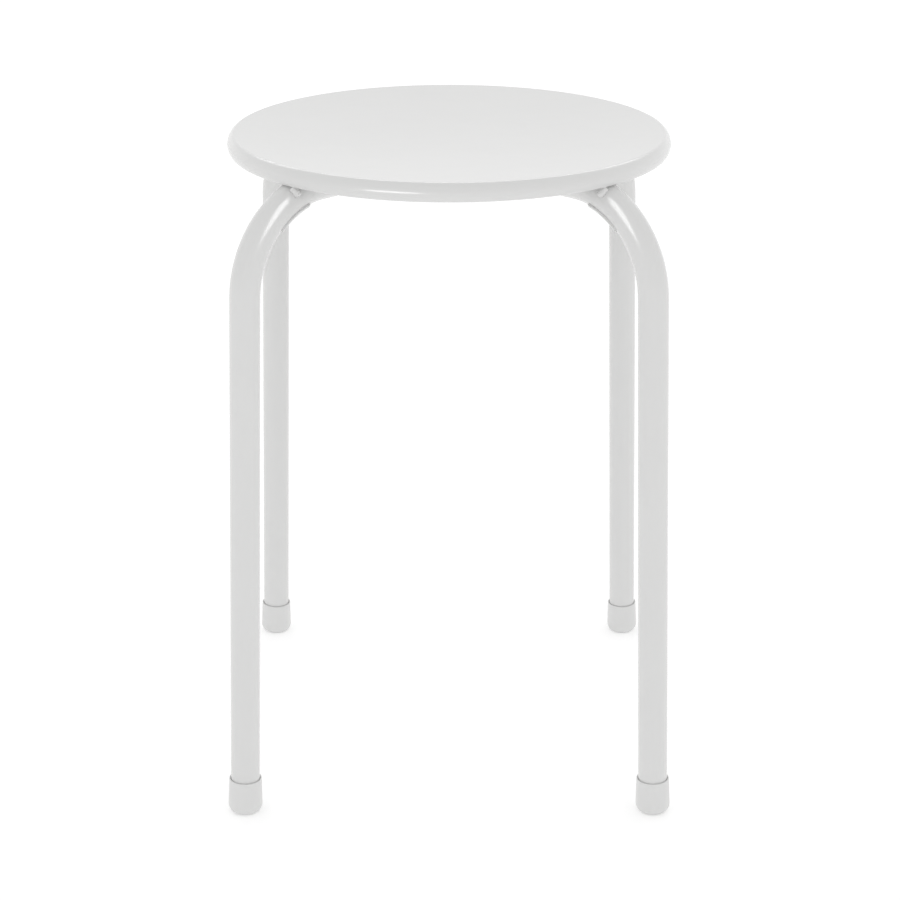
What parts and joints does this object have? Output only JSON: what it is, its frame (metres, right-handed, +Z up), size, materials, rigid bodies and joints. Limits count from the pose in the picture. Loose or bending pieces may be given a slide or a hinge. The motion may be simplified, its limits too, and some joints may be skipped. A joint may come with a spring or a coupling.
{
  "type": "stacking stool",
  "caption": "Backless stacking stool with a round pressed steel seat, bent tube legs that splay slightly, plastic foot caps and stacking pads.",
  "frame": {"origin": "on the floor, under the middle of the seat", "axes": "+Z up, -Y to the front, which is the side the picture shows, and +X to the right seen from the front"},
  "size_m": [0.3082, 0.3082, 0.45],
  "materials": {
    "painted_steel": "satin powder coat on steel",
    "white_plastic": "moulded, fine matt"
  },
  "bodies": {
    "root": {"seat_pan": "painted_steel", "through_leg_tube": "painted_steel", "side_leg_tube_front_right": "painted_steel", "centre_weld_front_right": "painted_steel", "side_leg_tube_rear_left": "painted_steel", "centre_weld_rear_left": "painted_steel", "foot_cap_front_left": "white_plastic", "stacking_pad_front_left": "white_plastic", "rim_weld_front_left": "painted_steel", "pan_weld_front_left": "painted_steel", "foot_cap_front_right": "white_plastic", "stacking_pad_front_right": "white_plastic", "rim_weld_front_right": "painted_steel", "pan_weld_front_right": "painted_steel", "foot_cap_rear_left": "white_plastic", "stacking_pad_rear_left": "white_plastic", "rim_weld_rear_left": "painted_steel", "pan_weld_rear_left": "painted_steel", "foot_cap_rear_right": "white_plastic", "stacking_pad_rear_right": "white_plastic", "rim_weld_rear_right": "painted_steel", "pan_weld_rear_right": "painted_steel"}
  },
  "joints": []
}
